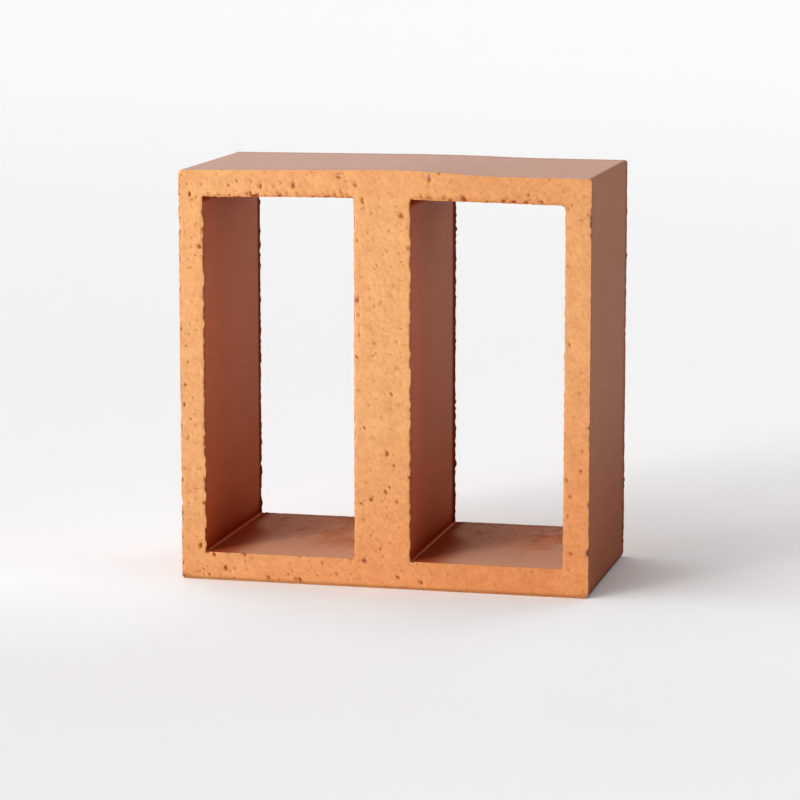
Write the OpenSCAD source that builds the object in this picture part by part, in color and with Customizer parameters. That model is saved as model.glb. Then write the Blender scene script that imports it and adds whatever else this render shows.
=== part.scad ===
// Terracotta breeze block: one piece of clay, extruded through a die, cut to depth with a wire and fired.
// The die gives the section with its two openings, and the wire gives the flat front and rear faces.
// X runs across the face, Y along the extrusion with the front face at -Y, and Z up.
// The origin is in the middle of the bed face that the block stands on.

/* [Block] */
// Overall width across the face
block_w = 200; // [160:1:300]
// Overall height, to the top of the crown over the web
block_h = 200; // [150:1:300]
// Depth between the two wire-cut faces
block_d = 100; // [50:1:150]

/* [Walls] */
// Thickness of the two side walls
side_wall_t = 12.4; // [8:0.1:20]
// Thickness of the web between the openings
web_t = 27.8; // [10:0.1:40]
// Thickness of the top wall
top_wall_t = 12.8; // [8:0.1:20]
// Thickness of the bottom wall
bottom_wall_t = 13.6; // [8:0.1:20]

/* [Corners] */
// Radius of the four outer corners of the section
outer_corner_r = 1.2; // [0.5:0.1:5]
// Radius of the corners inside the openings
opening_corner_r = 1.6; // [0.5:0.1:5]

/* [Drying sag] */
// Height by which the web holds the top wall above its two sagging spans
crown_h = 1.2; // [0.2:0.1:3]

/* [Hidden] */

// Share of an opening's width over which the top wall comes down from the web
sag_run_share = 0.65;
// Share of a corner's radius that its straight flanks are longer than the radius
flank_share = 0.5;
// Straight pieces in each corner's arc and in each sagging curve
corner_steps = 8;
sag_steps = 16;

// Width of one opening
opening_w = (block_w - web_t) / 2 - side_wall_t;
// Distances of an opening's two sides from the middle of the block
opening_in = web_t / 2;
opening_out = opening_in + opening_w;
// Height of the top face at the outer corners, below the crown
shoulder_h = block_h - crown_h;
// Distance from the web to the place where the top wall has come down to its shoulder
sag_run = opening_w * sag_run_share;

// Height of the top wall above its shoulders, at a distance x from the middle of the block
function rise(x) =
    let (past_web = min(max(abs(x) - opening_in, 0), sag_run))
    crown_h * (1 + cos(180 * past_web / sag_run)) / 2;

// Arc of radius r that rounds the corner at p, coming from a and going on to b
function corner_arc(a, p, b, r) =
    let (
        to_a = (a - p) / norm(a - p),
        to_b = (b - p) / norm(b - p),
        half = acos(to_a * to_b) / 2,
        turn = sign(cross(p - a, b - p)) * (180 - 2 * half),
        middle = to_a + to_b,
        centre = p + middle / norm(middle) * r / sin(half),
        from_centre = p + to_a * r / tan(half) - centre,
        start = atan2(from_centre.y, from_centre.x)
    )
    [for (i = [0 : corner_steps])
        let (angle = start + turn * i / corner_steps)
        centre + r * [cos(angle), sin(angle)]];

// Top line of the wall from x_from to x_to, lowered by drop
function sag_line(x_from, x_to, drop) =
    [for (i = [0 : sag_steps])
        let (x = x_from + (x_to - x_from) * i / sag_steps)
        [x, shoulder_h - drop + rise(x)]];

// Right half of the outer outline, from the foot up to the edge of the crown over the web
function outer_half() =
    let (
        side = block_w / 2,
        bed_middle = [0, 0],
        foot = [side, 0],
        shoulder = [side, shoulder_h],
        top = sag_line(opening_in + sag_run, opening_in, 0)
    )
    concat(
        corner_arc(bed_middle, foot, shoulder, outer_corner_r),
        corner_arc(foot, shoulder, top[0], outer_corner_r),
        top
    );

// Outline of the right opening: its head follows the top wall at an even thickness
function opening_outline() =
    let (
        flank = opening_corner_r * (1 + flank_share),
        head = sag_line(opening_out - flank, opening_in + flank, top_wall_t),
        head_h = shoulder_h - top_wall_t,
        sill_in = [opening_in, bottom_wall_t],
        sill_out = [opening_out, bottom_wall_t],
        head_out = [opening_out, head_h + rise(opening_out)],
        head_in = [opening_in, head_h + rise(opening_in)]
    )
    concat(
        corner_arc(head_in, sill_in, sill_out, opening_corner_r),
        corner_arc(sill_in, sill_out, head_out, opening_corner_r),
        corner_arc(sill_out, head_out, head[0], opening_corner_r),
        head,
        corner_arc(head[sag_steps], head_in, sill_in, opening_corner_r)
    );

// The same points on the other side of the block's middle, in the opposite order
function mirrored(points) = [for (i = [len(points) - 1 : -1 : 0]) [-points[i].x, points[i].y]];

// Section that the die gives the clay
module die_section() {
    difference() {
        polygon(concat(outer_half(), mirrored(outer_half())));
        polygon(opening_outline());
        polygon(mirrored(opening_outline()));
    }
}

// The fired block, between its two wire cuts
module breeze_block() {
    color("#dc9a63")
        rotate([90, 0, 0])
            linear_extrude(height = block_d, center = true)
                die_section();
}

breeze_block();
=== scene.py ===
import math

import bpy
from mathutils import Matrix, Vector


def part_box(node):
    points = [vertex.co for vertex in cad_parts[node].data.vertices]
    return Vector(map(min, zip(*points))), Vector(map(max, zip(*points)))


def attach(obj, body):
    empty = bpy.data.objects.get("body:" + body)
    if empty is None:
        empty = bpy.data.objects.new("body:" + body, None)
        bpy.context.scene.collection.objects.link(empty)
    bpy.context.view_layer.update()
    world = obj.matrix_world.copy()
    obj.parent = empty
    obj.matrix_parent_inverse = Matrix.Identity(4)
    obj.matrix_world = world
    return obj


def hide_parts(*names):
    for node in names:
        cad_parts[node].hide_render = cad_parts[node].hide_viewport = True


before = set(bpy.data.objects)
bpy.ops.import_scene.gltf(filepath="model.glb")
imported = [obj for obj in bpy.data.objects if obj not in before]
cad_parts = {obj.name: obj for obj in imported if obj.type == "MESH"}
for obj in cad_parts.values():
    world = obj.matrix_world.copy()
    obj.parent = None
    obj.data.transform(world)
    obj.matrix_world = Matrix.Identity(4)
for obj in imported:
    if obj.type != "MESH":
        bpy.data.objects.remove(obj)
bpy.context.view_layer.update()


# Breeze block: one piece of terracotta clay, pushed through a die that leaves two tall openings and a thick
# web between them, cut to depth with a wire, dried and fired. The web props the top wall, so the spans
# beside it sag.
BLOCK = "breeze_block"
block_low, block_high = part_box(BLOCK)
WIDTH = block_high.x - block_low.x
DEPTH = block_high.y - block_low.y
HEIGHT = block_high.z - block_low.z
SIDE_WALL = 0.0124
WEB = 0.0278
TOP_WALL = 0.0128
BOTTOM_WALL = 0.0136
CROWN = 0.0012

# Radii of the outer corners by side, with -1 for left and 1 for right, and of the openings' corners
TOP_RADII = {-1: 0.0014, 1: 0.0016}
FOOT_RADII = {-1: 0.0017, 1: 0.0021}
HEAD_RADIUS = 0.0011
WORN_HEAD_RADIUS = 0.0022
SILL_RADIUS = 0.0009

SHOULDER = HEIGHT - CROWN
OPENING_WIDTH = (WIDTH - WEB) / 2 - SIDE_WALL
OPENING_IN = WEB / 2
OPENING_OUT = OPENING_IN + OPENING_WIDTH
OPENING_MIDDLE = (OPENING_IN + OPENING_OUT) / 2
HEAD = SHOULDER - TOP_WALL

# The mesh has cells of about this size on the wire-cut faces, and rings behind them at these depths
CELL = 0.0007
RING_DEPTHS = (0.0005, 0.0011, 0.0020, 0.0045, 0.0110, 0.0270)
# Vertices this near are one, and a face looks along an axis when its normal has this much of it
SAME_PLACE = CELL / 100
FACING = 0.5
# Share of a corner's radius within which a vertex on its rim still counts
RIM_SHARE = 1.001

column_lines = (-WIDTH / 2, -OPENING_OUT, -OPENING_IN, OPENING_IN, OPENING_OUT, WIDTH / 2)
row_lines = (0.0, BOTTOM_WALL, HEAD, SHOULDER)


def pick(mesh_object, kind, wanted):
    """Selects, in edit mode, only the faces or edges that the test accepts."""
    bpy.ops.object.mode_set(mode="EDIT")
    bpy.ops.mesh.select_mode(type=kind)
    bpy.ops.mesh.select_all(action="DESELECT")
    bpy.ops.object.mode_set(mode="OBJECT")
    group = mesh_object.data.polygons if kind == "FACE" else mesh_object.data.edges
    group.foreach_set("select", [wanted(item) for item in group])
    bpy.ops.object.mode_set(mode="EDIT")


def in_opening(face):
    """Whether a face of the section lies in one of the two openings."""
    across = OPENING_IN < abs(face.center.x) < OPENING_OUT
    return across and BOTTOM_WALL < face.center.z < HEAD


bpy.ops.object.select_all(action="DESELECT")
bpy.ops.mesh.primitive_plane_add(size=1, location=(0, -DEPTH / 2, SHOULDER / 2), rotation=(math.pi / 2, 0, 0))
block = bpy.context.object
block.name = "fired_block"
block.scale = (WIDTH, SHOULDER, 1)
bpy.ops.object.transform_apply(location=True, rotation=True, scale=True)

# The section: the face is cut along the walls, and the two openings are taken out
bpy.ops.object.mode_set(mode="EDIT")
for column in column_lines[1:-1]:
    bpy.ops.mesh.select_all(action="SELECT")
    bpy.ops.mesh.bisect(plane_co=(column, 0, 0), plane_no=(1, 0, 0))
for row in row_lines[1:-1]:
    bpy.ops.mesh.select_all(action="SELECT")
    bpy.ops.mesh.bisect(plane_co=(0, 0, row), plane_no=(0, 0, 1))
pick(block, "FACE", in_opening)
bpy.ops.mesh.delete(type="FACE")


def divide(axis, low, high):
    """Cuts the band of edges that run along an axis from low to high into cells."""
    def in_band(edge):
        start, end = (block.data.vertices[i].co for i in edge.vertices)
        middle = (start[axis] + end[axis]) / 2
        return abs(end[axis] - start[axis]) > CELL and low < middle < high

    pick(block, "EDGE", in_band)
    bpy.ops.mesh.subdivide(number_cuts=round((high - low) / CELL) - 1)


for low, high in zip(column_lines, column_lines[1:]):
    divide(0, low, high)
for low, high in zip(row_lines, row_lines[1:]):
    divide(2, low, high)


def round_corner(corner_x, corner_z, side_x, side_z, radius):
    """Draws a square corner in to an arc whose centre lies towards side_x, side_z."""
    centre_x = corner_x + side_x * radius
    centre_z = corner_z + side_z * radius
    rim = radius * RIM_SHARE
    for vertex in block.data.vertices:
        across = (vertex.co.x - centre_x) * -side_x
        along = (vertex.co.z - centre_z) * -side_z
        if 0 < across < rim and 0 < along < rim:
            pull = max(across, along) / math.hypot(across, along)
            vertex.co.x = centre_x - side_x * across * pull
            vertex.co.z = centre_z - side_z * along * pull


bpy.ops.object.mode_set(mode="OBJECT")
for side in (-1, 1):
    round_corner(side * WIDTH / 2, 0, -side, 1, FOOT_RADII[side])
    round_corner(side * WIDTH / 2, SHOULDER, -side, -1, TOP_RADII[side])
    for jamb, inward in ((OPENING_IN, side), (OPENING_OUT, -side)):
        worn_corner = side > 0 and jamb == OPENING_OUT
        round_corner(side * jamb, BOTTOM_WALL, inward, 1, SILL_RADIUS)
        round_corner(side * jamb, HEAD, inward, -1, WORN_HEAD_RADIUS if worn_corner else HEAD_RADIUS)

# The walls: the edges of the section are drawn back ring by ring, and a copy of the section closes the rear
bpy.ops.object.mode_set(mode="EDIT")
bpy.ops.mesh.select_mode(type="EDGE")
bpy.ops.mesh.select_all(action="DESELECT")
bpy.ops.mesh.select_non_manifold(
    use_wire=False,
    use_multi_face=False,
    use_non_contiguous=False,
    use_verts=False,
)
rings = [*RING_DEPTHS, DEPTH / 2, *(DEPTH - depth for depth in reversed(RING_DEPTHS)), DEPTH]
reached = 0.0
for ring in rings:
    bpy.ops.mesh.extrude_edges_move(TRANSFORM_OT_translate={"value": (0, ring - reached, 0)})
    reached = ring
pick(block, "FACE", lambda face: abs(face.normal.y) > FACING)
bpy.ops.mesh.duplicate_move(TRANSFORM_OT_translate={"value": (0, DEPTH, 0)})
bpy.ops.mesh.select_all(action="SELECT")
bpy.ops.mesh.remove_doubles(threshold=SAME_PLACE)
bpy.ops.mesh.normals_make_consistent(inside=False)
bpy.ops.object.mode_set(mode="OBJECT")


class Wire:
    """One output of a node. Arithmetic on wires adds Math nodes to their tree."""

    def __init__(self, tree, socket=None):
        self.tree = tree
        self.socket = socket

    def add(self, kind, settings=None, inputs=None, output=0):
        """Adds a node of a kind: its settings first, then the values or links of its sockets."""
        node = self.tree.nodes.new(kind)
        for name, value in (settings or {}).items():
            setattr(node, name, value)
        for name, value in (inputs or {}).items():
            if isinstance(value, Wire):
                self.tree.links.new(value.socket, node.inputs[name])
            else:
                node.inputs[name].default_value = value
        return Wire(self.tree, node.outputs[output] if len(node.outputs) else None)

    def other(self, output):
        """Another output of the same node."""
        return Wire(self.tree, self.socket.node.outputs[output])

    def maths(self, operation, *values):
        return self.add("ShaderNodeMath", {"operation": operation}, dict(enumerate(values)))

    def __add__(self, value):
        return self.maths("ADD", self, value)

    def __radd__(self, value):
        return self.maths("ADD", value, self)

    def __sub__(self, value):
        return self.maths("SUBTRACT", self, value)

    def __rsub__(self, value):
        return self.maths("SUBTRACT", value, self)

    def __mul__(self, value):
        return self.maths("MULTIPLY", self, value)

    def __rmul__(self, value):
        return self.maths("MULTIPLY", value, self)

    def __truediv__(self, value):
        return self.maths("DIVIDE", self, value)

    def __abs__(self):
        return self.maths("ABSOLUTE", self)

    def lowest(self, value):
        return self.maths("MINIMUM", self, value)

    def highest(self, value):
        return self.maths("MAXIMUM", self, value)

    def below(self, limit):
        """1 where the value is under a limit, and 0 elsewhere."""
        return self.maths("LESS_THAN", self, limit)

    def above(self, limit):
        """1 where the value is over a limit, and 0 elsewhere."""
        return self.maths("GREATER_THAN", self, limit)

    def ramp(self, low, high):
        """A smooth step from 0 where the value is at low to 1 where it is at high."""
        return self.add("ShaderNodeMapRange", {"interpolation_type": "SMOOTHSTEP"},
                        {"Value": self, "From Min": low, "From Max": high})

    def axes(self):
        """The x, y and z of a vector."""
        x = self.add("ShaderNodeSeparateXYZ", None, {0: self})
        return x, x.other(1), x.other(2)

    def vector(self, x, y, z):
        return self.add("ShaderNodeCombineXYZ", None, {0: x, 1: y, 2: z})

    def scaled(self, factor):
        """A vector times a number."""
        return self.add("ShaderNodeVectorMath", {"operation": "SCALE"}, {0: self, "Scale": factor})

    def plus(self, vector):
        return self.add("ShaderNodeVectorMath", {"operation": "ADD"}, {0: self, 1: vector})

    def noise(self, scale, detail, roughness=0.5):
        return self.add("ShaderNodeTexNoise", None,
                        {"Vector": self, "Scale": scale, "Detail": detail, "Roughness": roughness})

    def mixed(self, factor, colour_a, colour_b, blend="MIX"):
        """Colour a going over to colour b."""
        return self.add("ShaderNodeMix", {"data_type": "RGBA", "blend_type": blend},
                        {0: factor, 6: colour_a, 7: colour_b}, 2)

    def covered(self, factor, colour):
        """This colour, going over to another one."""
        return self.mixed(factor, self, colour)

    def tinted(self, factor, tint):
        """This colour, going over to itself times a tint."""
        return self.mixed(factor, self, tint, "MULTIPLY")


# The wire drags grog grains down and to the right, which tears pits along its way, and it sways a little. The
# rear face has a pattern of its own. Patterns are in millimetres, and a noise has a scale and a detail
MM = 1000.0
DRAG_ANGLE = math.radians(-58)
DRAG_STRETCH = 0.70
SWAY = (0.06, 1.0)
SWAY_WIDTH = 9.0
REAR_SHIFT = (531.0, 217.0)


def face_place(place):
    """Place on a wire-cut face in millimetres, from left to right and up."""
    x, y, z = place.scaled(MM).axes()
    rear = y.above(0.0)
    return place.vector(x + rear * REAR_SHIFT[0], z + rear * REAR_SHIFT[1], 0.0)


def drag_place(place):
    """The same place turned to run along the wire's way, drawn out along it and swaying."""
    x, z, _ = face_place(place).axes()
    along = x * math.cos(DRAG_ANGLE) + z * math.sin(DRAG_ANGLE)
    across = z * math.cos(DRAG_ANGLE) - x * math.sin(DRAG_ANGLE)
    sway = face_place(place).noise(*SWAY)
    return place.vector(along * DRAG_STRETCH, across + sway * SWAY_WIDTH, 0.0)


# Pits: their spacing, their largest radius and the share of places that hold one. A fade is the value where
# something is 0, then the value where it is 1
DEEP_PITS = (5.4, 1.42, 0.55)
SHALLOW_PITS = (2.7, 0.90, 0.60)
SHALLOW_SHIFT = (90.0, 40.0, 0.0)
SHALLOW_DEPTH = 0.52
RIPS = (2.2, 1.30, 0.95)
RIP_SHIFT = (30.0, 70.0, 0.0)
RIP_DEPTH = 1.05
LEAST_PIT = 0.45
PIT_WALL_FADE = (0.0, 0.85)
RIGHT_SMOOTHER = 0.30
RIP_FOOT_FADE = (-0.0020, 0.0)
RIP_TOP_FADE = (0.0055, 0.0010)
RIP_IN_FADE = (0.0, 0.004)
RIP_OUT_FADE = (0.001, -0.002)


def pits(place, spacing, radius, share):
    """Round hollows, up to 1 deep in the middle: the larger, the deeper."""
    cell = place.add("ShaderNodeTexVoronoi", {"voronoi_dimensions": "2D"},
                     {"Vector": place, "Scale": 1 / spacing})
    luck = cell.other("Color").axes()[0]
    size = ((luck - (1 - share)) / share).highest(0.0)
    reach = (size * (1 - LEAST_PIT) + LEAST_PIT) * (radius / spacing)
    hollow = (1 - cell / reach).ramp(*PIT_WALL_FADE)
    return hollow * size


def torn(place):
    """Depth of the torn pits on a wire-cut face: most on the left, with rips along the openings' heads."""
    wire_place = drag_place(place)
    deep = pits(wire_place, *DEEP_PITS)
    shallow = pits(wire_place.plus(SHALLOW_SHIFT), *SHALLOW_PITS) * SHALLOW_DEPTH
    x, _, z = place.axes()
    over_head = (z - HEAD).ramp(*RIP_FOOT_FADE) * (z - HEAD).ramp(*RIP_TOP_FADE)
    over_head = over_head * (abs(x) - OPENING_IN).ramp(*RIP_IN_FADE)
    over_head = over_head * (abs(x) - OPENING_OUT).ramp(*RIP_OUT_FADE)
    rips = pits(wire_place.plus(RIP_SHIFT), *RIPS) * over_head * RIP_DEPTH
    return deep.highest(shallow).highest(rips) * (1 - x.ramp(-WIDTH / 2, WIDTH / 2) * RIGHT_SMOOTHER)


def margins(place):
    """Distances into the clay: from an opening's uprights, from any of its sides, and from the outside."""
    x, _, z = place.axes()
    beside = abs(abs(x) - OPENING_MIDDLE) - OPENING_WIDTH / 2
    beyond = abs(z - (BOTTOM_WALL + HEAD) / 2) - (HEAD - BOTTOM_WALL) / 2
    return beside, beside.highest(beyond), WIDTH / 2 - abs(x)


# Relief of the fired clay, as geometry: the propped top wall, torn pits, bitten arrises and burrs
relief = bpy.data.node_groups.new("clay_relief", "GeometryNodeTree")
relief.interface.new_socket("Geometry", in_out="INPUT", socket_type="NodeSocketGeometry")
relief.interface.new_socket("Geometry", in_out="OUTPUT", socket_type="NodeSocketGeometry")
start = Wire(relief).add("NodeGroupInput")
place = start.add("GeometryNodeInputPosition")
normal = start.add("GeometryNodeInputNormal")
x, y, z = place.axes()
normal_x, normal_y, normal_z = normal.axes()
on_front = y.below(0.0)
behind_face = DEPTH / 2 - abs(y)
beside_opening, to_opening, to_outside = margins(place)

# The web props the top wall: the left span slopes down from it, and the right one sags
OVER_CROWN = 0.0020
UNDER_CROWN = 0.0012
REAR_CROWN_SHARE = 0.4
RISE_FROM_SHARE = 0.3
SAG_FADE = (0.060, 0.008)
on_left = x.below(0.0)
span = ((abs(x) - OPENING_IN) / OPENING_WIDTH).highest(0.0).lowest(1.0)
under = 1 - span * (1 - on_left * (1 - span))
slope = 1 - abs(x) / (WIDTH / 2)
sag = abs(x).ramp(*SAG_FADE)
over = sag + on_left * (slope - sag)
level = ((z - HEAD) / TOP_WALL).highest(0.0).lowest(1.0)
rise = under * UNDER_CROWN + level * (over * OVER_CROWN - under * UNDER_CROWN)
to_rear = y / DEPTH + 0.5
rise = rise * (1 - to_rear * (1 - REAR_CROWN_SHARE)) * z.ramp(HEAD * RISE_FROM_SHARE, HEAD)

# Grains that the wire tore from the arrises leave round bites, most of all along the uprights of the openings
BITES = (2.1, 1.25, 0.95)
BITE_DEPTH = 0.0019
BITE_FADE = (0.0022, 0.0003)
BITE_ARRIS_FADE = (0.0016, 0.0002)
EDGE_FADE = (0.0030, 0.0015)
UPRIGHT_END_FADE = (0.003, 0.001)
OUTSIDE_BITES = 0.75
HEAD_BITES = 0.70
LEAST_BITES = 0.10
CRUMBLE = (0.022, 1.0)
CRUMBLE_FADE = (0.36, 0.60)
CRUMBLE_RANGE = (0.30, 0.70)
CRUMBLE_RIGHT_FADE = (-0.085, -0.010)
CRUMBLE_RIGHT_LESS = 0.45
SAWN_FOOT_FADE = (0.075, 0.045)
SAWN_HEAD_FADE = (0.120, 0.150)
SAWN_LEFT_FADE = (-0.075, -0.083)
upright = abs(beside_opening).ramp(*EDGE_FADE)
upright = upright * (z - HEAD).ramp(*UPRIGHT_END_FADE) * (BOTTOM_WALL - z).ramp(*UPRIGHT_END_FADE)
outside = to_outside.ramp(*EDGE_FADE)
at_head = abs(z - HEAD).ramp(*EDGE_FADE)
ragged = upright.highest(outside * OUTSIDE_BITES).highest(at_head * HEAD_BITES).highest(LEAST_BITES)
crumbled = face_place(place).noise(*CRUMBLE).ramp(*CRUMBLE_FADE)
crumbled = crumbled * (CRUMBLE_RANGE[1] - CRUMBLE_RANGE[0]) + CRUMBLE_RANGE[0]
crumbled = crumbled * (1 - x.ramp(*CRUMBLE_RIGHT_FADE) * CRUMBLE_RIGHT_LESS)
sawn = z.ramp(*SAWN_FOOT_FADE).highest(z.ramp(*SAWN_HEAD_FADE)) * x.ramp(*SAWN_LEFT_FADE) * on_front
bites = pits(face_place(place), *BITES) * ragged * crumbled.highest(sawn)

# Larger chips on the front arrises: x, z and radius
CHIPS = (
    (-0.0885, 0.1796, 0.0015),
    (-0.0139, 0.1430, 0.0016),
    (0.1000, 0.1850, 0.0009),
    (0.1000, 0.1815, 0.0010),
    (0.1000, 0.1780, 0.0009),
    (0.1000, 0.0221, 0.0018),
)
for chip_x, chip_z, radius in CHIPS:
    distance_squared = (x - chip_x) * (x - chip_x) + (z - chip_z) * (z - chip_z)
    bites = bites.highest(distance_squared.ramp(radius * radius, 0.0) * on_front)
near_arris = to_opening.lowest(to_outside).lowest(z.lowest(SHOULDER - z)).ramp(*BITE_ARRIS_FADE)
bites = bites * behind_face.ramp(*BITE_FADE) * near_arris * BITE_DEPTH

# The arrises of the uprights are finely toothed, most on the left
TEETH = (0.85, 1.0)
TOOTH_DEPTH = 0.0013
TOOTH_SHAPE_FADE = (0.42, 0.58)
TOOTH_FADE = (0.0010, 0.0002)
TOOTH_ARRIS_FADE = (0.0009, 0.0001)
TOOTH_RIGHT_FADE = (-0.09, 0.09)
TOOTH_RIGHT_LESS = 0.7
teeth = face_place(place).noise(*TEETH).ramp(*TOOTH_SHAPE_FADE) * upright
teeth = teeth * (1 - x.ramp(*TOOTH_RIGHT_FADE) * TOOTH_RIGHT_LESS)
teeth = teeth * behind_face.ramp(*TOOTH_FADE) * to_opening.ramp(*TOOTH_ARRIS_FADE) * TOOTH_DEPTH

# Where the wire leaves the clay at the rear it draws burrs from the uprights and the outside, which are lower
# at mid height
BURRS = (1.9, 1.3, 0.9)
BURR_SHIFT = (0.04, 0.0, 0.09)
BURR_HEIGHT = 0.0011
LEAST_BURR = 0.15
BURR_FADE = (0.0016, 0.0004)
BURR_REAR_FADE = (-0.01, 0.01)
BURR_STRETCHES = (0.030, 1.0)
BURR_STRETCH_FADE = (0.15, 0.50)
OUTSIDE_BURR_FADE = (0.010, 0.045)
BURR_FOOT_FADE = (0.0010, 0.0040)
BURR_TOP_FADE = (0.001, 0.004)
LULL_FOOT_FADE = (0.040, 0.065)
LULL_HEAD_FADE = (0.160, 0.135)
LULL = 0.55
burr_place = face_place(place.plus(BURR_SHIFT))
drawn_out = burr_place.noise(*BURR_STRETCHES).ramp(*BURR_STRETCH_FADE)
drawn_edge = upright.highest(outside * (SHOULDER - z).ramp(*OUTSIDE_BURR_FADE))
burrs = (pits(burr_place, *BURRS) * (1 - LEAST_BURR) + LEAST_BURR) * drawn_out * drawn_edge * BURR_HEIGHT
burrs = burrs * behind_face.ramp(*BURR_FADE) * y.ramp(*BURR_REAR_FADE)
burrs = burrs * z.ramp(*BURR_FOOT_FADE) * (SHOULDER - z).ramp(*BURR_TOP_FADE)
burrs = burrs * (1 - z.ramp(*LULL_FOOT_FADE) * z.ramp(*LULL_HEAD_FADE) * LULL)

PIT_DEPTH = 0.0008
PIT_FADE = (0.0003, 0.0001)
sink = torn(place) * behind_face.ramp(*PIT_FADE) * PIT_DEPTH + bites.highest(teeth)
offset = place.vector(
    normal_x * (burrs - sink),
    normal_y * (0.0 - sink),
    normal_z * (burrs - sink) + rise,
)
moved = start.add("GeometryNodeSetPosition", None, {"Geometry": start, "Offset": offset})
moved.add("NodeGroupOutput", None, {0: moved})

SMOOTH_ANGLE = math.radians(60)
modifier = block.modifiers.new("clay_relief", "NODES")
modifier.node_group = relief
bpy.context.view_layer.objects.active = block
bpy.ops.object.modifier_apply(modifier=modifier.name)
bpy.ops.object.shade_smooth_by_angle(angle=SMOOTH_ANGLE)

# Fired clay: sandy and open where the wire cut it, dense where the die pressed it. The top has the slickest
# skin. Its colour is darker and redder towards the foot and the lower right, which is painted shade
clay = bpy.data.materials.new("fired_terracotta")
clay.use_nodes = True
clay.node_tree.nodes.clear()
place = Wire(clay.node_tree).add("ShaderNodeTexCoord", output="Object")
place_mm = place.scaled(MM)
x, y, z = place.axes()
beside_opening, to_opening, to_outside = margins(place)
behind_face = DEPTH / 2 - abs(y)

# Where each finish lies
CUT_FADE = (0.0006, 0.0002)
CUT_ARRIS_FADE = (0.0, 0.0005)
SIDE_FADE = (0.006, 0.003)
TOP_FADE = (0.003, 0.001)
TOP_ARRIS_FADE = (0.0008, 0.0018)
SILL_FADE = (0.0008, 0.0003)
WEB_FADE = (0.05, 0.03)
cut = behind_face.ramp(*CUT_FADE) * to_opening.lowest(to_outside).ramp(*CUT_ARRIS_FADE).highest(y.below(0.0))
on_side = to_outside.ramp(*SIDE_FADE)
on_top = (SHOULDER - z).ramp(*TOP_FADE) * to_outside.ramp(*TOP_ARRIS_FADE)
on_sill = (z - BOTTOM_WALL).ramp(*SILL_FADE) * (1 - on_side)
by_web = abs(x).ramp(*WEB_FADE)
from_middle = (abs(x) - OPENING_MIDDLE) * x.maths("SIGN", x)
in_left_half = from_middle.below(0.0)

# Painted shade: a dark rim along the rear arrises and along the foot
REAR_FADE = (0.0075, 0.0035)
REAR_WEB_MORE = (0.003, 0.002)
REAR_SIDE_LESS = 0.57
REAR_LEVEL_LESS = 0.82
FOOT_FADE = (0.0022, 0.0006)
FOOT_SIDE_MORE = 0.0018
rear_start = REAR_FADE[0] + by_web * REAR_WEB_MORE[0]
rear_full = REAR_FADE[1] + by_web * REAR_WEB_MORE[1]
rear_shade = (DEPTH / 2 - y).ramp(rear_start, rear_full)
rear_shade = rear_shade * (1 - (on_side * REAR_SIDE_LESS).highest(on_top.highest(on_sill) * REAR_LEVEL_LESS))
foot_shade = z.ramp(FOOT_FADE[0] + on_side * FOOT_SIDE_MORE, FOOT_FADE[1])

# Painted shade in the left corners of the openings, on the wall and on the sill where the wall shades it, and
# along the heads
FILLET_FADE = (0.0012, 0.0006)
SHADE_START = 0.0018
WALL_SHADE_LENGTH = 0.009
WALL_SHADE_REAR_LESS = 0.005
WALL_SHADE_REAR_FADE = (0.0, 0.032)
WALL_SHADE_FRONT = 0.85
WALL_SHADE_FRONT_FADE = (-0.040, -0.015)
SILL_SHADE = 0.92
SILL_SHADE_REACH = 0.025
SILL_SHADE_REAR_LESS = 0.017
SILL_SHADE_REAR_FADE = (-0.005, 0.027)
SILL_SHADE_FULL_SHARE = 0.25
HEAD_SHADE_FOOT_FADE = (-0.0035, -0.0005)
HEAD_SHADE_TOP_FADE = (0.003, 0.002)
in_corner = abs(beside_opening) + abs(z - BOTTOM_WALL)
in_fillet = in_corner.ramp(*FILLET_FADE)
shade_length = WALL_SHADE_LENGTH - y.ramp(*WALL_SHADE_REAR_FADE) * WALL_SHADE_REAR_LESS
wall_shade = place.maths("EXPONENT", (SHADE_START - in_corner) / shade_length).lowest(1.0)
wall_shade = wall_shade * (WALL_SHADE_FRONT + y.ramp(*WALL_SHADE_FRONT_FADE) * (1 - WALL_SHADE_FRONT))
shade_reach = SILL_SHADE_REACH - y.ramp(*SILL_SHADE_REAR_FADE) * SILL_SHADE_REAR_LESS
sill_shade = in_corner.ramp(shade_reach, shade_reach * SILL_SHADE_FULL_SHARE) * SILL_SHADE
head_shade = (z - HEAD).ramp(*HEAD_SHADE_FOOT_FADE) * (z - HEAD).ramp(*HEAD_SHADE_TOP_FADE)
corner_shade = (wall_shade + on_sill * (sill_shade - wall_shade)) * (1 - in_fillet) * in_left_half
corner_shade = corner_shade.highest(head_shade) * (1 - on_side)

# Patterns: scale, detail and roughness. Those that the die draws out along the extrusion start with the share
# of their scale that is left along it
MOTTLE = (0.12, 3.0, 0.60)
SAND = (0.65, 2.0, 0.55)
GRAIN = (2.20, 2.0, 0.60)
SPECKS = (0.75, 1.0, 0.50)
SCRATCHES = (0.80, 2.0, 0.50)
SCRATCH_STRETCH = 0.25
STREAKS = (0.06, 0.35, 3.0, 0.60)
LINES = (0.03, 1.30, 2.0, 0.50)
BROAD = (0.25, 0.09, 3.0, 0.55)
SCUFFS = (0.40, 0.07, 2.0, 0.55)
STAINS = (0.60, 0.17, 3.0, 0.60)
NEAR_FACE_FADE = (0.0022, 0.0010)


def drawn_pattern(stretch, scale, detail, roughness):
    """Noise that runs along the extrusion."""
    along_x, along_y, along_z = place_mm.axes()
    return place.vector(along_x, along_y * stretch, along_z).noise(scale, detail, roughness)


def tone(fade, shares):
    """Sum of patterns, each by its share."""
    return sum(pattern.ramp(*fade) * share for pattern, share in shares)


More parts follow.
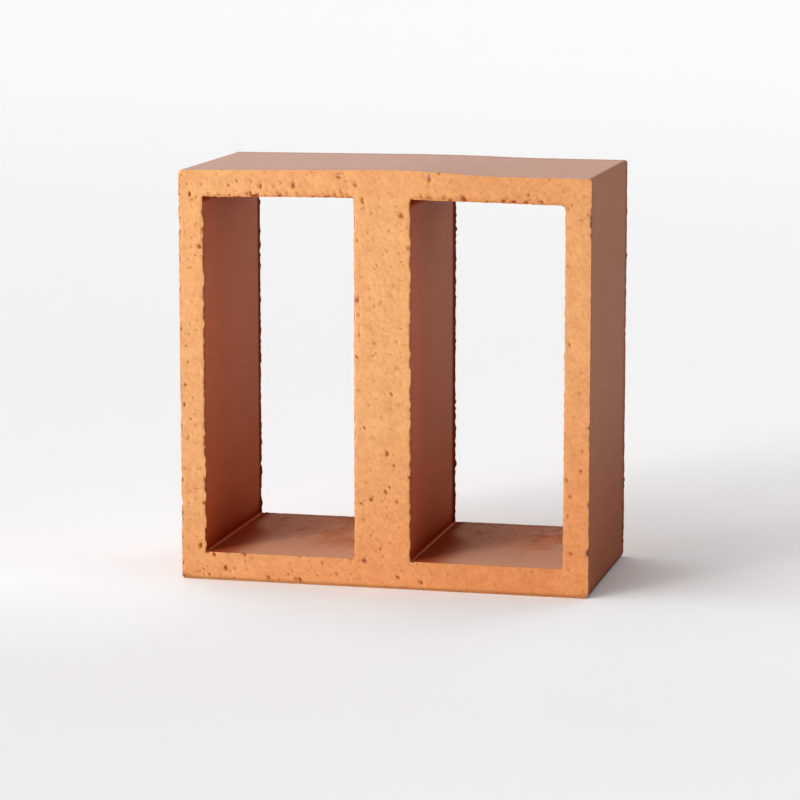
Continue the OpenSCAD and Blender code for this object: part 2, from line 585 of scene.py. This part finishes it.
mottle = place_mm.noise(*MOTTLE)
sand = place_mm.noise(*SAND)
grain = place_mm.noise(*GRAIN)
drag_along, drag_across, _ = drag_place(place).axes()
scratches = place.vector(drag_along * SCRATCH_STRETCH, drag_across, 0.0).noise(*SCRATCHES)
streaks = drawn_pattern(*STREAKS)
lines = drawn_pattern(*LINES)
broad = drawn_pattern(*BROAD)
hollows = torn(place) * behind_face.ramp(*NEAR_FACE_FADE)

# Wire-cut faces: sandy orange, frayed along the heads. Redder and darker towards the foot and the right, away
# from the lamp at the upper left, is painted shade
CUT_COLOUR = (0.610, 0.280, 0.108, 1)
CUT_PALE = (0.788, 0.430, 0.188, 1)
CUT_SHADE_TINT = (0.99, 0.81, 0.74, 1)
CUT_RIGHT_SHADE_TINT = (0.955, 0.905, 0.870, 1)
FRAYED_TINT = (0.84, 0.72, 0.62, 1)
FOOT_SHADE_TINT = (0.42, 0.36, 0.32, 1)
CUT_TONE_FADE = (0.30, 0.70)
CUT_SHADE_FADE = (0.10, -0.02)
CUT_SHADE_LEAN = 0.35
BEAM_FADE = (-0.001, 0.004)
BEAM_LEFT_FADE = (-0.075, -0.040)
BEAM_SHADE = 0.24
CUT_RIGHT_FADE = (0.0, 0.055)
RIGHT_JAMB_FADE = (-0.006, 0.002)
RIGHT_JAMB_LESS = 0.5
FRAYED_FADE = (0.0026, 0.0004)
FRAYED_LEAST = 0.35
FRAYED_SAND_FADE = (0.35, 0.60)
FRAYED_IN_FADE = (-0.001, 0.002)
FRAYED_OUT_FADE = (0.001, -0.002)
FRAYED_FROM = HEAD - 0.002
CUT_FOOT_SHADE = 0.60
cut_tone = tone(CUT_TONE_FADE, ((mottle, 0.28), (sand, 0.34), (scratches, 0.20), (grain, 0.18)))
# Painted shade: redder and darker towards the foot, the right and the top bar's right, away from the lamp
shaded_beam = (z - HEAD).ramp(*BEAM_FADE) * x.ramp(*BEAM_LEFT_FADE) * BEAM_SHADE
shaded_lower_right = (z - x * CUT_SHADE_LEAN).ramp(*CUT_SHADE_FADE).highest(shaded_beam)
shaded_right = x.ramp(*CUT_RIGHT_FADE) * (1 - (x - OPENING_OUT).ramp(*RIGHT_JAMB_FADE) * RIGHT_JAMB_LESS)
above_head = z - HEAD - abs(x).ramp(OPENING_OUT, OPENING_IN) * UNDER_CROWN
frayed = above_head.ramp(*FRAYED_FADE) * (FRAYED_LEAST + sand.ramp(*FRAYED_SAND_FADE) * (1 - FRAYED_LEAST))
frayed = frayed * (abs(x) - OPENING_IN).ramp(*FRAYED_IN_FADE) * (abs(x) - OPENING_OUT).ramp(*FRAYED_OUT_FADE)
frayed = frayed * z.above(FRAYED_FROM)
cut_colour = place.mixed(cut_tone, CUT_COLOUR, CUT_PALE)
cut_colour = cut_colour.tinted(shaded_lower_right, CUT_SHADE_TINT)
cut_colour = cut_colour.tinted(shaded_right, CUT_RIGHT_SHADE_TINT)
cut_colour = cut_colour.tinted(frayed, FRAYED_TINT)
# Painted shade along the foot of the cut face
cut_colour = cut_colour.tinted(foot_shade * CUT_FOOT_SHADE, FOOT_SHADE_TINT)

# Skin in the openings and on the sides: brick red, drawn out along the extrusion. Darker towards the foot and
# paler towards the head is painted shade and light, and so are the walls' lighter, redder front and greyer
# rear in the openings
SKIN_FOOT = (0.440, 0.114, 0.047, 1)
SKIN_HEAD = (0.517, 0.178, 0.090, 1)
SIDE_FOOT = (0.400, 0.140, 0.078, 1)
SIDE_HEAD = (0.497, 0.228, 0.150, 1)
FRONT_LIGHT_TINT = (1.20, 1.06, 0.98, 1)
REAR_LIGHT_TINT = (1.00, 1.14, 1.22, 1)
WEB_TINT = (0.955, 1.13, 1.31, 1)
SKIN_FADE = (0.01, 0.15)
SIDE_SKIN_FADE = (0.01, 0.11)
FRONT_FADE = (-0.01, -DEPTH / 2)
DEEP_FADE = (-0.03, 0.02)
SIDE_SKIN_INSIDE = 0.6
# Painted shade and light: darker towards the foot, paler towards the head
side_colour = place.mixed(z.ramp(*SIDE_SKIN_FADE), SIDE_FOOT, SIDE_HEAD)
skin_colour = place.mixed(z.ramp(*SKIN_FADE), SKIN_FOOT, SKIN_HEAD)
# Painted light: the openings' walls lighter and redder by the front, greyer towards the rear
skin_colour = skin_colour.tinted(y.ramp(*FRONT_FADE) * (1 - on_side), FRONT_LIGHT_TINT)
skin_colour = skin_colour.tinted(y.ramp(*DEEP_FADE) * (1 - on_side), REAR_LIGHT_TINT)
skin_colour = skin_colour.tinted(by_web, WEB_TINT)
skin_colour = skin_colour.covered(on_side.highest((1 - in_left_half) * SIDE_SKIN_INSIDE), side_colour)

# Sills: paler skin, with specks and stains towards the rear. Red scuffs towards the right of each opening are
# partly real and partly painted light, the red light that the lit right wall throws back
SILL_FRONT = (0.594, 0.293, 0.172, 1)
SILL_REAR = (0.566, 0.271, 0.156, 1)
SILL_RIGHT_TINT = (0.90, 0.93, 0.98, 1)
SCUFF_AND_BOUNCE_COLOUR = (0.500, 0.150, 0.058, 1)
SILL_RIGHT_FADE = (-0.01, 0.01)
SCUFF_FADE = (0.40, 0.62)
SCUFF_DEPTH_FADE = (-0.045, -0.005)
BOUNCE_RIGHT_FADE = (-0.012, 0.026)
SCUFF_AND_BOUNCE = 0.7
SPECK_FADE = (0.56, 0.70)
SPECK = 0.42
STAIN_FADE = (0.50, 0.66)
STAIN = 0.40
# Partly painted light: red scuffs kept to the right of each opening, where the lit right wall throws red
# light
scuffs_and_bounce = drawn_pattern(*SCUFFS).ramp(*SCUFF_FADE) * on_sill
scuffs_and_bounce = scuffs_and_bounce * y.ramp(*SCUFF_DEPTH_FADE) * from_middle.ramp(*BOUNCE_RIGHT_FADE) * SCUFF_AND_BOUNCE
specks = place_mm.noise(*SPECKS).ramp(*SPECK_FADE) * SPECK
stains = drawn_pattern(*STAINS).ramp(*STAIN_FADE) * STAIN
stained = specks.highest(stains) * on_sill * y.ramp(-DEPTH / 4, DEPTH / 4)
sill_colour = place.mixed(y.ramp(-DEPTH / 2, DEPTH / 4), SILL_FRONT, SILL_REAR)
sill_colour = sill_colour.tinted(x.ramp(*SILL_RIGHT_FADE), SILL_RIGHT_TINT)
sill_colour = sill_colour.covered(scuffs_and_bounce, SCUFF_AND_BOUNCE_COLOUR)
skin_colour = skin_colour.covered(on_sill, sill_colour)

# The greyer top, then wear, painted shade along the rear arrises and in the left corners with the sills'
# stains, the fillets along the sills, painted shade along the foot and in the pits
TOP_COLOUR = (0.460, 0.246, 0.177, 1)
WORN_TINT = (0.88, 0.84, 0.81, 1)
REAR_SHADE_TINT = (0.36, 0.18, 0.10, 1)
SHADE_AND_STAIN_TINT = (0.52, 0.15, 0.05, 1)
FILLET_COLOUR = (0.430, 0.092, 0.030, 1)
PIT_SHADE_COLOUR = (0.350, 0.075, 0.020, 1)
WORN_FADE = (0.65, 0.35)
FILLET_LEAST = 0.45
FILLET_BROAD_FADE = (0.4, 0.6)
PIT_SHADE_FADE = (0.0, 0.78)
PIT_SHADE_MOST = 0.82
worn = tone(WORN_FADE, ((broad, 0.22), (streaks, 0.14), (lines, 0.24), (grain, 0.40)))
fillet = in_fillet * (1 - on_side) * (FILLET_LEAST + broad.ramp(*FILLET_BROAD_FADE) * (1 - FILLET_LEAST))
skin_colour = skin_colour.covered(on_top, TOP_COLOUR)
skin_colour = skin_colour.tinted(worn, WORN_TINT)
# Painted shade along the rear arrises
skin_colour = skin_colour.tinted(rear_shade, REAR_SHADE_TINT)
# Painted shade in the left corners and along the heads, together with the sills' real specks and stains
skin_colour = skin_colour.tinted(corner_shade.highest(stained), SHADE_AND_STAIN_TINT)
skin_colour = skin_colour.covered(fillet, FILLET_COLOUR)
# Painted shade along the foot
skin_colour = skin_colour.tinted(foot_shade, FOOT_SHADE_TINT)
colour = skin_colour.covered(cut, cut_colour)
# Painted shade in the pits
colour = colour.covered(hollows.ramp(*PIT_SHADE_FADE) * PIT_SHADE_MOST, PIT_SHADE_COLOUR)

# Gloss of the skin, as a coat that scuffs take off, and that is taken off the fillets and where shade is
# painted
INNER_SLICK = 0.07
SIDE_SLICK = 0.04
SILL_SLICK = 0.07
TOP_SLICK = 0.45
INNER_SLICK_FADE = (0.02, 0.10)
TOP_RIGHT_LESS = 0.36
STREAK_GLOSS = 0.2
FILLET_AND_SHADE_DULLS = 0.9
inner_slick = z.ramp(*INNER_SLICK_FADE) * INNER_SLICK
top_slick = TOP_SLICK * (1 - x.ramp(-WIDTH / 2, WIDTH / 2) * TOP_RIGHT_LESS)
slick = inner_slick + on_side * (SIDE_SLICK - inner_slick) + on_sill * (SILL_SLICK - inner_slick)
slick = slick + on_top * (top_slick - slick)
slick = slick * (1 - scuffs_and_bounce) * (1 - STREAK_GLOSS / 2 + streaks * STREAK_GLOSS)
slick = slick * (1 - cut) * (1 - in_fillet.highest(rear_shade).highest(corner_shade) * FILLET_AND_SHADE_DULLS)

# Fine relief: sand and grain on the cut, drag lines on the skin
BUMP_DEPTH = 0.001
PIT_BUMP = 0.25
CUT_GRAIN_BUMP = 0.08
CUT_SAND_BUMP = 0.10
LINE_BUMP = 0.010
SKIN_GRAIN_BUMP = 0.025
STREAK_BUMP = 0.005
cut_relief = grain * CUT_GRAIN_BUMP + sand * CUT_SAND_BUMP
skin_relief = lines * LINE_BUMP + grain * SKIN_GRAIN_BUMP + streaks * STREAK_BUMP
height = cut_relief * cut - hollows * PIT_BUMP + skin_relief * (1 - cut)
bump = place.add("ShaderNodeBump", None, {"Height": height, "Distance": BUMP_DEPTH, "Strength": 1.0})
surface = place.add("ShaderNodeBsdfPrincipled", None, {
    "Base Color": colour,
    "Roughness": 0.95,
    "Specular IOR Level": 0.0,
    "Diffuse Roughness": 0.5,
    "Coat Weight": slick,
    "Coat Roughness": 0.48,
    "Normal": bump,
})
place.add("ShaderNodeOutputMaterial", None, {"Surface": surface})
block.data.materials.clear()
block.data.materials.append(clay)

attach(block, "root")
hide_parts(BLOCK)


# Floor: a wide sheet of matt white studio paper that the block stands on. Its whiter paper far off is painted
# light, and so is its whiter, cooler paper before and left of the block, which offsets the block's shade and
# the red light the clay throws back. It is far larger than the view, so its edge doesn't show.
FLOOR_SIZE = 40.0
PAPER_NEAR = (0.885, 0.875, 0.875, 1)
PAPER_FAR = (0.940, 0.935, 0.935, 1)
PAPER_LIT_BEFORE = (0.955, 0.985, 0.998, 1)
PAPER_LIT_LEFT = (0.862, 0.885, 0.898, 1)
FAR_FADE = (0.5, 4.0)
LEFT_REACH_FADE = (0.20, 0.0)
LEFT_FADE = (-0.09, -0.13)
FOOT_REACH_FADE = (0.24, 0.0)
BEFORE_FADE = (-0.01, -0.08)
bpy.ops.object.select_all(action="DESELECT")
bpy.ops.mesh.primitive_plane_add(size=FLOOR_SIZE)
floor = bpy.context.object
floor.name = "floor"
paper = bpy.data.materials.new("white_paper")
paper.use_nodes = True
paper.node_tree.nodes.clear()
place = Wire(paper.node_tree).add("ShaderNodeTexCoord", output="Object")
x, y, _ = place.axes()
from_block = (abs(x) - WIDTH / 2).highest(abs(y) - DEPTH / 2)
# Painted light: whiter, cooler paper by the block's left and front
lit_left = from_block.ramp(*LEFT_REACH_FADE) * x.ramp(*LEFT_FADE)
lit_before = from_block.ramp(*FOOT_REACH_FADE) * y.ramp(*BEFORE_FADE)
paper_colour = place.mixed(y.ramp(*FAR_FADE), PAPER_NEAR, PAPER_FAR)
paper_colour = paper_colour.covered(lit_left, PAPER_LIT_LEFT)
paper_colour = paper_colour.covered(lit_before, PAPER_LIT_BEFORE)
surface = place.add("ShaderNodeBsdfPrincipled", None, {
    "Base Color": paper_colour,
    "Roughness": 0.9,
    "Specular IOR Level": 0.1,
})
place.add("ShaderNodeOutputMaterial", None, {"Surface": surface})
floor.data.materials.append(paper)


# Light: a lamp to the front left, aimed at the block's upper left, low weak sunlight from the same side,
# and a white room whose brightest walls are to the left and behind.
LAMP_AIM = Vector((-WIDTH / 2, -DEPTH / 2, SHOULDER))
LAMP_DISTANCE = 2.0
KEY_FROM = (36, 6)
KEY_ENERGY = 91
KEY_SPREAD = math.radians(14)
KEY_SIZE = 0.2
SUN_FROM = (36, 15)
SUN_ENERGY = 0.80
SUN_SPREAD = math.radians(18)
SKY_SEEN = 0.95


def towards(azimuth, elevation):
    """Direction that is so many degrees to the left of the front face's normal, and so many up."""
    turn = math.radians(azimuth)
    tilt = math.radians(elevation)
    return Vector((-math.sin(turn) * math.cos(tilt), -math.cos(turn) * math.cos(tilt), math.sin(tilt)))


def lamp(name, kind, direction, energy):
    """A lamp that shines at the aim from a direction."""
    data = bpy.data.lights.new(name, kind)
    data.energy = energy
    light = bpy.data.objects.new(name, data)
    bpy.context.scene.collection.objects.link(light)
    light.location = LAMP_AIM + direction * LAMP_DISTANCE
    light.rotation_euler = direction.to_track_quat("Z", "Y").to_euler()
    return data


key = lamp("key", "SPOT", towards(*KEY_FROM), KEY_ENERGY)
key.spot_size = KEY_SPREAD
key.spot_blend = 1.0
key.shadow_soft_size = KEY_SIZE
sun = lamp("sun", "SUN", towards(*SUN_FROM), SUN_ENERGY)
sun.angle = SUN_SPREAD

# Each bright patch of the room: azimuth, elevation, how tight it is, and its strength
ROOM_PATCHES = (
    (45, 20, 6, 4.5),
    (90, 20, 6, 1.4),
    (135, 20, 6, 2.1),
    (180, 4, 16, 3.9),
    (210, 4, 16, 9.1),
    (0, 90, 3, 0.5),
)
room = bpy.data.worlds.new("room")
bpy.context.scene.world = room
room.use_nodes = True
room.node_tree.nodes.clear()
gaze = Wire(room.node_tree).add("ShaderNodeTexCoord", output="Generated")
brightness = 0.0
for azimuth, elevation, tightness, strength in ROOM_PATCHES:
    facing = gaze.add("ShaderNodeVectorMath", {"operation": "DOT_PRODUCT"},
                      {0: gaze, 1: towards(azimuth, elevation)}, "Value")
    brightness = brightness + gaze.maths("POWER", facing.highest(0.0), tightness) * strength
seen = gaze.add("ShaderNodeLightPath", output="Is Camera Ray")
brightness = brightness + seen * (SKY_SEEN - brightness)
background = gaze.add("ShaderNodeBackground", None, {"Strength": brightness})
gaze.add("ShaderNodeOutputWorld", None, {"Surface": background})
bpy.context.scene.view_settings.view_transform = "Standard"


# Camera: a long lens a little above the block and to its right, which looks down on it
# at the photograph's viewing angle.
CAMERA_PLACE = (0.366, -1.553, 0.347)
CAMERA_YAW = math.radians(13.37)
CAMERA_PITCH = math.radians(9.38)
CAMERA_LENS = 148.6
CAMERA_SENSOR = 36
camera_data = bpy.data.cameras.new("camera")
camera_data.sensor_width = CAMERA_SENSOR
camera_data.lens = CAMERA_LENS
camera = bpy.data.objects.new("camera", camera_data)
bpy.context.scene.collection.objects.link(camera)
camera.location = CAMERA_PLACE
camera.rotation_euler = (math.pi / 2 - CAMERA_PITCH, 0, CAMERA_YAW)
bpy.context.scene.camera = camera
